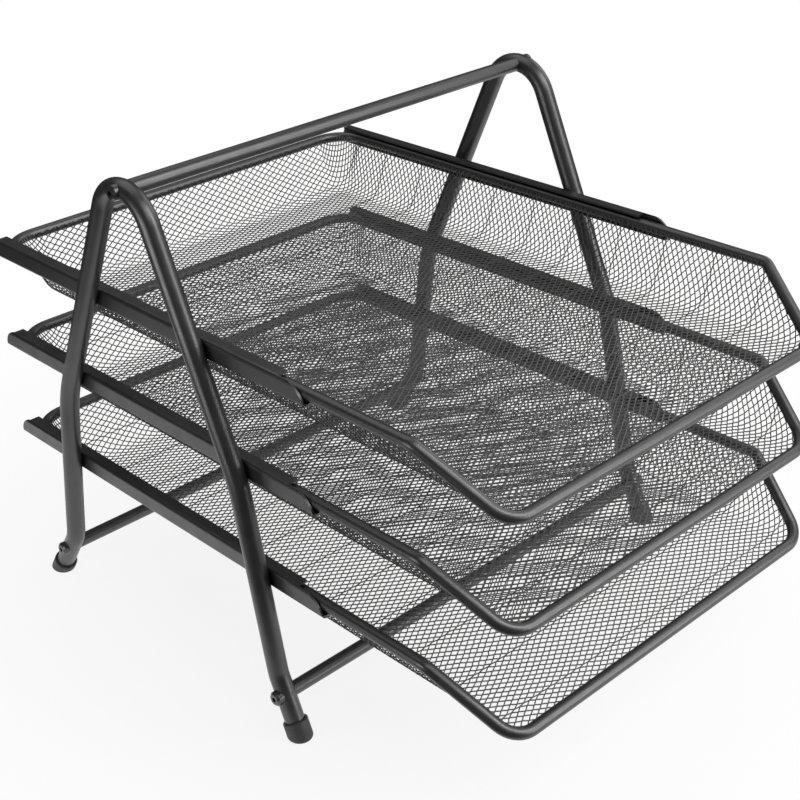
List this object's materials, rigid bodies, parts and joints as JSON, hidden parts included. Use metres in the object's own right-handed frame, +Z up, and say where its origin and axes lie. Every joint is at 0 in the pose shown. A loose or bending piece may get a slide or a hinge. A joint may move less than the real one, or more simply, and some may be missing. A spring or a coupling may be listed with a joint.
{
  "type": "sliding letter tray stack",
  "caption": "Free-standing stack of sliding mesh letter trays on channel rails between bent-tube A-frame sides, joined by cross bars and a top handle bar.",
  "frame": {"origin": "on the ground under the middle of the trays, at the bottom centre of the overall box", "axes": "+Z is up, the trays open and slide out towards -Y, and X runs across the stack from left to right"},
  "size_m": [0.2874, 0.3842, 0.2767],
  "materials": {
    "tube_coat": "satin",
    "rail_coat": "satin",
    "rim_coat": "satin",
    "mesh_coat": "satin",
    "screw_coat": "satin",
    "cap_rubber": "matte"
  },
  "bodies": {
    "frame": {"left_rail_bottom": "rail_coat", "right_rail_bottom": "rail_coat", "left_rail_middle": "rail_coat", "right_rail_middle": "rail_coat", "left_rail_top": "rail_coat", "right_rail_top": "rail_coat", "left_side_tube": "tube_coat", "foot_front_left": "cap_rubber", "foot_rear_left": "cap_rubber", "right_side_tube": "tube_coat", "foot_front_right": "cap_rubber", "foot_rear_right": "cap_rubber", "handle_bar": "tube_coat", "front_cross_bar": "tube_coat", "rear_cross_bar": "tube_coat", "bar_screws": "screw_coat"},
    "tray_bottom": {"tray_bottom_rim": "rim_coat", "tray_bottom_basket": "mesh_coat"},
    "tray_middle": {"tray_middle_rim": "rim_coat", "tray_middle_basket": "mesh_coat"},
    "tray_top": {"tray_top_rim": "rim_coat", "tray_top_basket": "mesh_coat"}
  },
  "joints": [
    {"name": "tray_bottom_slide", "type": "slide", "parent": "frame", "child": "tray_bottom", "axis": [0, -1, 0], "range_m": [0, 0.12]},
    {"name": "tray_middle_slide", "type": "slide", "parent": "frame", "child": "tray_middle", "axis": [0, -1, 0], "range_m": [0, 0.12]},
    {"name": "tray_top_slide", "type": "slide", "parent": "frame", "child": "tray_top", "axis": [0, -1, 0], "range_m": [0, 0.12]}
  ]
}
